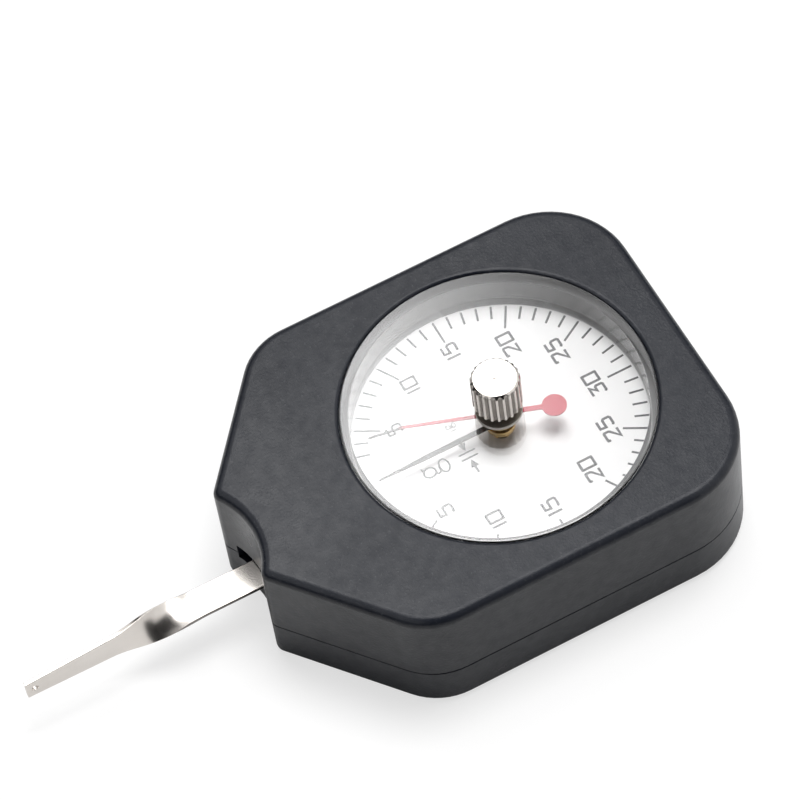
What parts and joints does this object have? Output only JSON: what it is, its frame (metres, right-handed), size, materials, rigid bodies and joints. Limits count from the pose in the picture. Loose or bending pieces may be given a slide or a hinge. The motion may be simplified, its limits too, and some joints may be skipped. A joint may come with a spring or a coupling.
{
  "type": "dial tension gauge",
  "caption": "Hand-held dial tension gauge: black case with a clear crystal, a twisted feeler that swings either way, a measuring pointer, a red drag pointer and a fluted reset knob.",
  "frame": {"origin": "where the dial axis meets the flat back face of the rear cover", "axes": "+Z along the dial axis, out of the dial; +Y along the resting feeler, towards its tip; +X to the right for a reader with the feeler pointing up"},
  "size_m": [0.0524, 0.0996, 0.0272],
  "materials": {
    "case_plastic": "fine-grained matt black moulding",
    "crystal_clear": "clear polished acrylic",
    "dial_white": "white enamel with printed scale",
    "nickel_plate": "bright nickel plate",
    "brass_parts": "turned brass",
    "steel_parts": "turned steel",
    "pointer_black": "black lacquer",
    "pointer_red": "red lacquer"
  },
  "bodies": {
    "case": {"front_case": "case_plastic", "rear_cover": "case_plastic", "crystal": "crystal_clear", "dial_plate": "dial_white", "knob_bush": "nickel_plate", "main_plate": "brass_parts", "rear_plate": "brass_parts", "lever_bushes": "brass_parts", "arbor_bushes": "brass_parts", "hairspring_stud": "brass_parts", "pillars": "steel_parts", "stop_pins": "steel_parts", "spring_post": "steel_parts", "measuring_spring": "steel_parts", "hairspring": "steel_parts", "cover_screws": "steel_parts", "plate_screws": "steel_parts", "pillar_screws": "steel_parts"},
    "feeler_lever": {"feeler": "nickel_plate", "lever_arbor": "steel_parts", "lever_hub": "brass_parts", "clamp_plate": "brass_parts", "clamp_screws": "steel_parts", "sector_gear": "brass_parts", "spring_pin": "steel_parts"},
    "measuring_pointer": {"pinion_arbor": "steel_parts", "hairspring_collet": "brass_parts", "pointer_hub": "brass_parts", "black_pointer": "pointer_black"},
    "drag_pointer": {"reset_knob": "nickel_plate", "red_pointer_hub": "brass_parts", "red_pointer": "pointer_red", "friction_washer": "steel_parts"}
  },
  "joints": [
    {"name": "feeler_swing", "type": "hinge", "parent": "case", "child": "feeler_lever", "pos_m": [0, 0.0252, 0.00855], "axis": [0, 0, 1], "range_deg": [-9, 9], "stiffness_Nm_per_rad": 0.0862, "deforming": ["measuring_spring"]},
    {"name": "pointer_turn", "type": "hinge", "parent": "case", "child": "measuring_pointer", "pos_m": [0, 0, 0.0158], "axis": [0, 0, 1], "range_deg": [-181, 181], "deforming": ["hairspring"]},
    {"name": "drag_pointer_turn", "type": "hinge", "parent": "case", "child": "drag_pointer", "pos_m": [0, 0, 0.0178], "axis": [0, 0, 1], "range_deg": [-336, 18]}
  ],
  "couplings": [
    {"joint": "pointer_turn", "follows": "feeler_swing", "ratio": -20}
  ]
}
